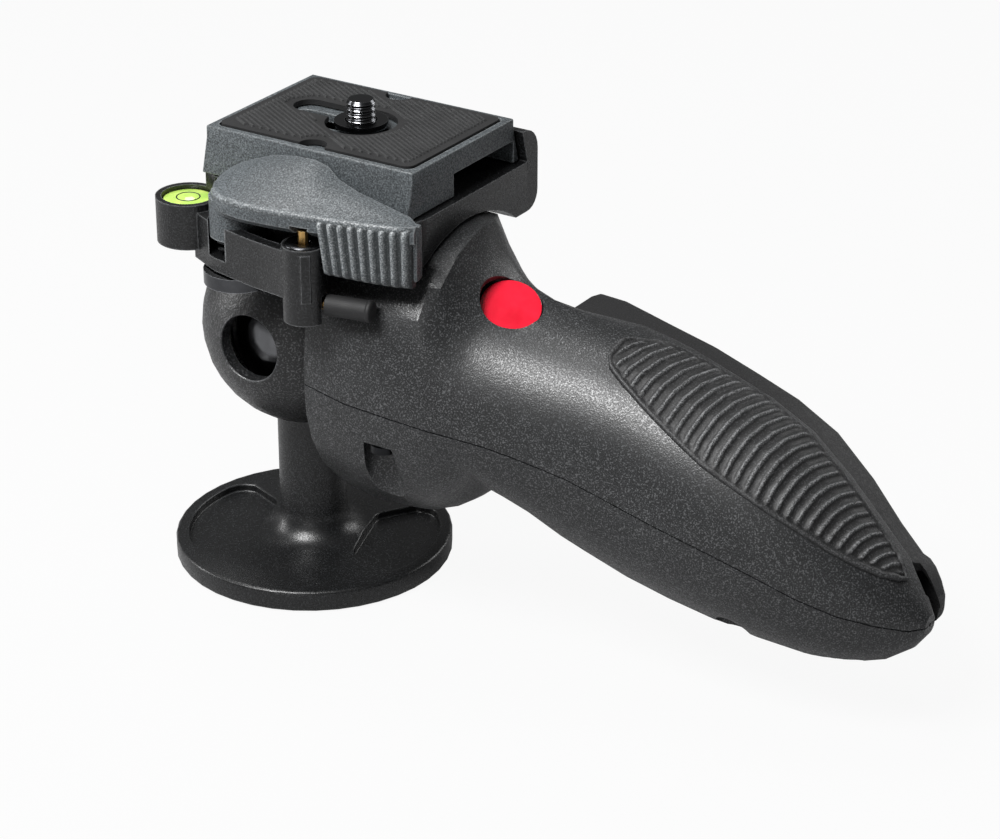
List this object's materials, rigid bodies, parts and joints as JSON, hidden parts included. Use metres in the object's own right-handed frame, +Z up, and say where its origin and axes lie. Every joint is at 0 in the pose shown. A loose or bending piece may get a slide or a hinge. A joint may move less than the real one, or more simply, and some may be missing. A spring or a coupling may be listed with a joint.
{
  "type": "joystick tripod head",
  "caption": "Ball-joint tripod head worked by a pistol-like grip with a squeeze trigger, carrying a lever-locked quick release plate.",
  "frame": {"origin": "under the middle of the bounding box, on the plane of the base underside", "axes": "+Z up along the stem, +X along the grip from the ball to its tip, +Y to the trigger side"},
  "size_m": [0.1838, 0.0676, 0.1112],
  "materials": {
    "black_paint": "black satin paint on a casting",
    "housing_paint": "black coarse paint on a casting",
    "steel": "bright zinc plated steel",
    "ball_steel": "hard grey chrome",
    "spring_steel": "spring steel",
    "dark_steel": "black chrome",
    "frame_alloy": "plain alloy",
    "rubber_black": "matt black rubber",
    "acetal": "natural white plastic",
    "grip_plastic": "charcoal soft-touch plastic",
    "trigger_plastic": "matt black plastic",
    "red_gloss": "glossy red",
    "grey_paint": "grey fine texture paint on a casting",
    "vial_fluid": "clear yellow-green",
    "brass": "bright brass"
  },
  "bodies": {
    "base": {"base_stem": "black_paint", "thread_bush": "steel", "steel_ball": "ball_steel", "ball_screw": "steel"},
    "pan_ring": {"wiper_ring": "rubber_black"},
    "tilt_ring": {"front_liner": "acetal"},
    "head": {"ball_housing": "housing_paint", "brake_spring": "spring_steel", "grip_frame": "frame_alloy", "frame_bolt_1": "steel", "frame_bolt_2": "steel", "trigger_pin": "steel", "rocker_pin": "steel", "grip_upper_shell": "grip_plastic", "grip_lower_shell": "grip_plastic", "shell_screw_1": "steel", "shell_screw_2": "steel", "shell_screw_3": "steel", "grip_pad": "rubber_black", "badge": "red_gloss", "platform": "black_paint", "platform_screw_1": "steel", "platform_screw_2": "steel", "level_vial": "vial_fluid", "lever_pivot": "dark_steel", "lever_spring": "spring_steel", "pin_spring": "spring_steel", "release_plate": "grey_paint", "plate_rubber": "rubber_black"},
    "brake": {"brake_shoe": "steel", "push_rod": "steel"},
    "wheel": {"friction_wheel": "rubber_black"},
    "rocker_arm": {"rocker": "steel"},
    "trigger_arm": {"trigger": "trigger_plastic"},
    "lever": {"release_lever": "grey_paint"},
    "pull_pin": {"safety_pin": "brass", "pin_sleeve": "rubber_black"},
    "camera_bolt": {"camera_screw": "dark_steel", "screw_flange": "dark_steel"}
  },
  "joints": [
    {"name": "pan", "type": "hinge", "parent": "base", "child": "pan_ring", "pos_m": [-0.06055, 0.00235, 0.057], "axis": [0, 0, 1], "continuous": true},
    {"name": "tilt", "type": "hinge", "parent": "pan_ring", "child": "tilt_ring", "pos_m": [-0.06055, 0.00235, 0.057], "axis": [0, 1, 0], "range_deg": [-5, 20]},
    {"name": "side_tilt", "type": "hinge", "parent": "tilt_ring", "child": "head", "pos_m": [-0.06055, 0.00235, 0.057], "axis": [1, 0, 0], "range_deg": [-90, 0]},
    {"name": "brake", "type": "slide", "parent": "head", "child": "brake", "axis": [0.9863, 0, -0.165], "range_m": [0, 0.00095], "stiffness_N_per_m": 40},
    {"name": "wheel_turn", "type": "hinge", "parent": "head", "child": "wheel", "pos_m": [0.03709, 0.00235, 0.04066], "axis": [0.9863, 0, -0.165], "continuous": true},
    {"name": "trigger", "type": "hinge", "parent": "head", "child": "trigger_arm", "pos_m": [0.00455, 0.01535, 0.04611], "axis": [0.165, 0, 0.9863], "range_deg": [-3.5, 0], "stiffness_Nm_per_rad": 6},
    {"name": "rocker", "type": "hinge", "parent": "head", "child": "rocker_arm", "pos_m": [0.0223, -0.00665, 0.04314], "axis": [0.165, 0, 0.9863], "range_deg": [-14.2, 0]},
    {"name": "lever", "type": "hinge", "parent": "head", "child": "lever", "pos_m": [-0.05905, -0.02385, 0.079], "axis": [0, 0, 1], "range_deg": [-75, 0], "stiffness_Nm_per_rad": 0.05},
    {"name": "pull_pin", "type": "slide", "parent": "head", "child": "pull_pin", "axis": [0, 0, 1], "range_m": [-0.002, 0], "stiffness_N_per_m": 400, "deforming": ["pin_spring"]},
    {"name": "camera_screw", "type": "hinge", "parent": "head", "child": "camera_bolt", "pos_m": [-0.04475, 0.00155, 0.1056], "axis": [0, 0, 1], "continuous": true}
  ],
  "couplings": [
    {"joint": "rocker", "follows": "trigger", "ratio": 4},
    {"joint": "brake", "follows": "trigger", "m_per_rad": -0.0155}
  ]
}
